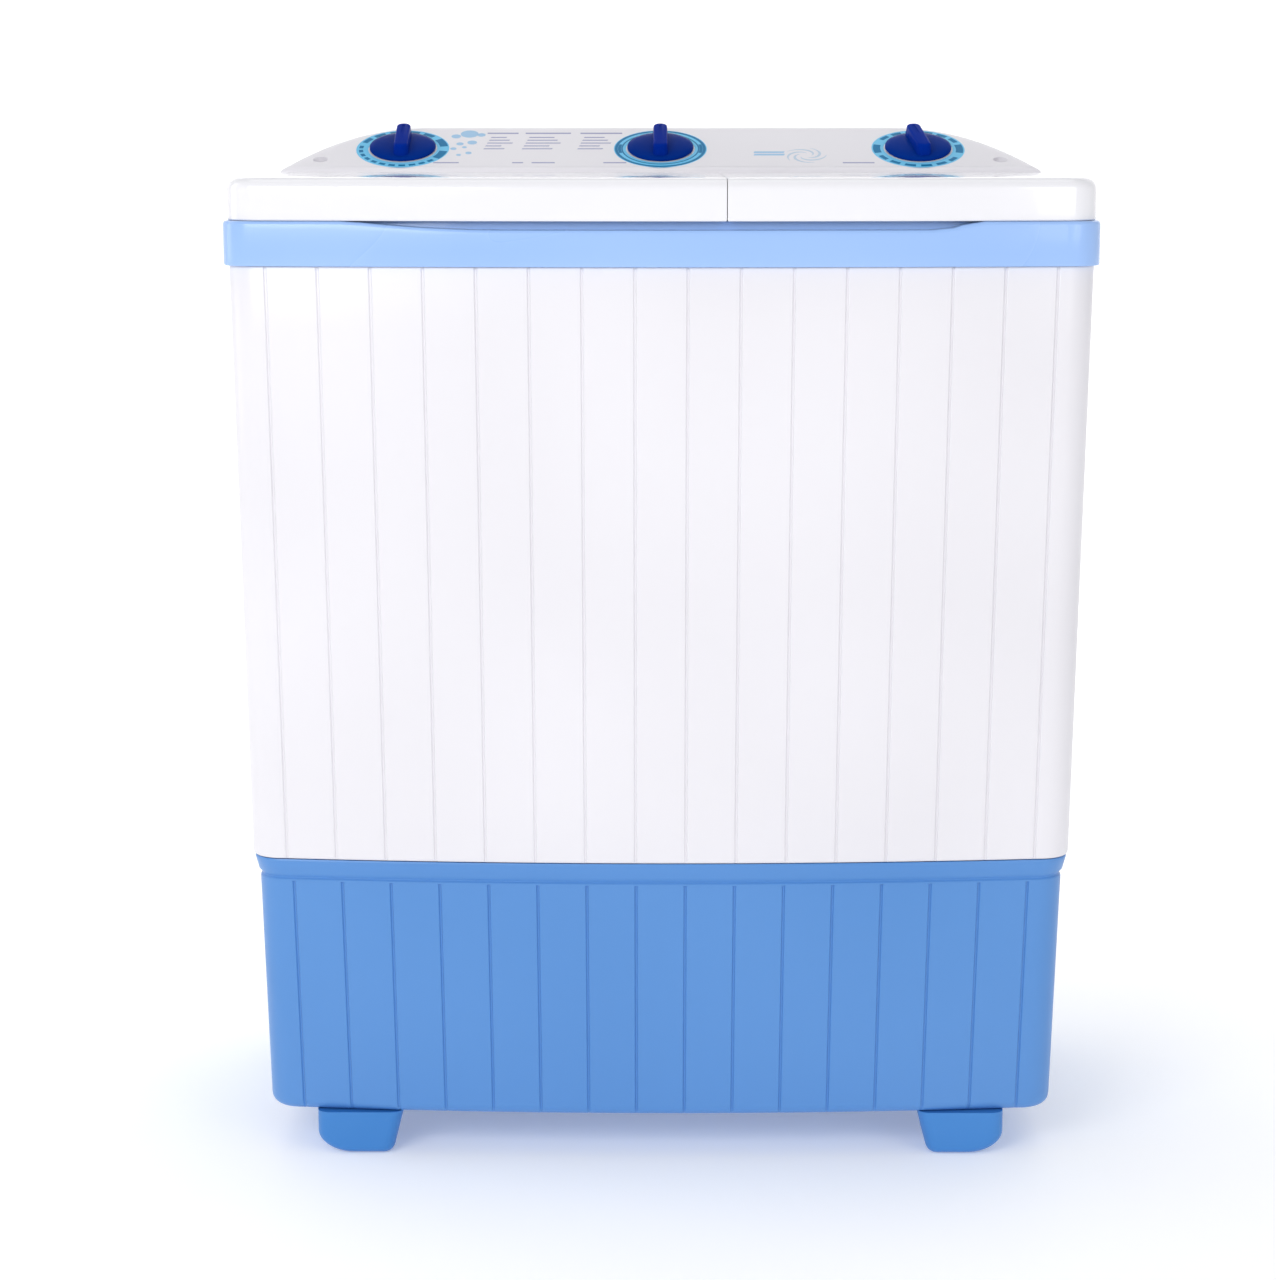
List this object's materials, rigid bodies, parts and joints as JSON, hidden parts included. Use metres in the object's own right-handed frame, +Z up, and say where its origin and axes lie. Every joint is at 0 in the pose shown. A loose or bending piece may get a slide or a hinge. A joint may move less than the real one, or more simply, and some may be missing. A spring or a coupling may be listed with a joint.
{
  "type": "twin tub washer",
  "caption": "Free-standing twin tub washing machine with a ribbed cabinet, a wash tub with pulsator, a spin basket, hinged lids and a sloped control console.",
  "frame": {"origin": "on the floor under the middle of the machine", "axes": "+Z up, front towards -Y, +X to the right seen from the front"},
  "size_m": [0.66, 0.3999, 0.8042],
  "materials": {
    "casing_white": "satin white moulded plastic",
    "lid_white": "glossy white moulded plastic",
    "band_blue": "satin pale blue moulded plastic",
    "base_blue": "satin blue moulded plastic",
    "foot_blue": "darker blue moulded plastic",
    "knob_blue": "glossy dark blue plastic",
    "tub_plastic": "smooth off-white plastic",
    "grey_plastic": "grey moulded plastic",
    "steel": "stainless steel",
    "zinc": "zinc plated or die cast metal",
    "motor_metal": "varnished motor steel",
    "black_rubber": "black rubber"
  },
  "bodies": {
    "root": {"base": "base_blue", "cabinet": "casing_white", "rear_service_panel": "casing_white", "top_band": "band_blue", "top_deck": "casing_white", "wash_lid_hinge_rod": "steel", "spin_lid_hinge_rod": "steel", "control_console": "casing_white", "fascia_panel": "casing_white", "wash_tub": "tub_plastic", "wash_gearbox": "zinc", "drive_belt": "black_rubber", "wash_motor": "motor_metal", "wash_motor_bracket": "zinc", "spin_tub": "tub_plastic", "spin_bearing": "zinc", "bellows_seal": "black_rubber", "brake_post": "steel", "brake_cable": "black_rubber", "spin_motor": "motor_metal", "drain_valve_body": "grey_plastic", "drain_hose": "black_rubber", "drain_spigot": "grey_plastic", "cord_gland": "black_rubber", "motor_capacitor": "motor_metal", "foot_front_left": "foot_blue", "foot_front_right": "foot_blue", "foot_rear_left": "foot_blue", "foot_rear_right": "foot_blue", "panel_screw_1": "zinc", "panel_screw_2": "zinc", "panel_screw_3": "zinc", "panel_screw_4": "zinc", "motor_spring_1": "steel", "motor_spring_2": "steel", "motor_spring_3": "steel", "wash_timer_body": "grey_plastic", "selector_body": "grey_plastic", "spin_timer_body": "grey_plastic"},
    "wash_lid": {"wash_lid": "lid_white"},
    "spin_lid": {"spin_lid": "lid_white"},
    "pulsator": {"pulsator": "knob_blue", "pulsator_screw": "steel", "pulsator_shaft": "steel", "wash_pulley": "grey_plastic"},
    "wash_motor_rotor": {"wash_motor_shaft": "steel", "motor_pulley": "grey_plastic"},
    "spin_basket": {"spin_basket": "steel", "spin_shaft": "steel", "brake_drum": "zinc"},
    "spin_press_plate": {"spin_press_plate": "foot_blue"},
    "brake_lever": {"brake_lever": "zinc"},
    "drain_plunger": {"drain_plunger": "grey_plastic"},
    "lint_filter": {"lint_filter": "foot_blue"},
    "wash_timer_knob": {"wash_timer_spindle": "steel", "wash_timer_knob": "knob_blue"},
    "selector_knob": {"selector_spindle": "steel", "selector_knob": "knob_blue"},
    "spin_timer_knob": {"spin_timer_spindle": "steel", "spin_timer_knob": "knob_blue"}
  },
  "joints": [
    {"name": "wash_lid_hinge", "type": "hinge", "parent": "root", "child": "wash_lid", "pos_m": [-0.14, 0.044, 0.755], "axis": [-1, 0, 0], "range_deg": [0, 95]},
    {"name": "spin_lid_hinge", "type": "hinge", "parent": "root", "child": "spin_lid", "pos_m": [0.19, 0.044, 0.755], "axis": [-1, 0, 0], "range_deg": [0, 95]},
    {"name": "pulsator_spin", "type": "hinge", "parent": "root", "child": "pulsator", "pos_m": [-0.138, -0.031, 0.34], "axis": [0, 0, 1], "continuous": true},
    {"name": "wash_motor_spin", "type": "hinge", "parent": "root", "child": "wash_motor_rotor", "pos_m": [0.018, 0.062, 0.2], "axis": [0, 0, 1], "continuous": true},
    {"name": "spin_basket_spin", "type": "hinge", "parent": "root", "child": "spin_basket", "pos_m": [0.182, -0.056, 0.4], "axis": [0, 0, 1], "continuous": true},
    {"name": "press_plate_slide", "type": "slide", "parent": "spin_basket", "child": "spin_press_plate", "axis": [0, 0, 1], "range_m": [0, 0.15]},
    {"name": "brake_lever_turn", "type": "hinge", "parent": "root", "child": "brake_lever", "pos_m": [0.118, 0, 0.24], "axis": [0, 0, 1], "range_deg": [0, 4.2]},
    {"name": "drain_plunger_lift", "type": "slide", "parent": "root", "child": "drain_plunger", "axis": [0, 0, 1], "range_m": [0, 0.01]},
    {"name": "lint_filter_lift", "type": "slide", "parent": "root", "child": "lint_filter", "axis": [0, 0, 1], "range_m": [0, 0.02]},
    {"name": "wash_timer_turn", "type": "hinge", "parent": "root", "child": "wash_timer_knob", "pos_m": [-0.214, 0.091, 0.7825], "axis": [0, 0.3827, -0.9239], "range_deg": [0, 300]},
    {"name": "selector_turn", "type": "hinge", "parent": "root", "child": "selector_knob", "pos_m": [0, 0.091, 0.7825], "axis": [0, 0.3827, -0.9239], "range_deg": [0, 90]},
    {"name": "spin_timer_turn", "type": "hinge", "parent": "root", "child": "spin_timer_knob", "pos_m": [0.214, 0.091, 0.7825], "axis": [0, 0.3827, -0.9239], "range_deg": [0, 300]}
  ],
  "couplings": [
    {"joint": "wash_motor_spin", "follows": "pulsator_spin", "ratio": 4.487},
    {"joint": "brake_lever_turn", "follows": "spin_lid_hinge", "ratio": 0.0442},
    {"joint": "drain_plunger_lift", "follows": "selector_turn", "m_per_rad": 0.006366}
  ]
}
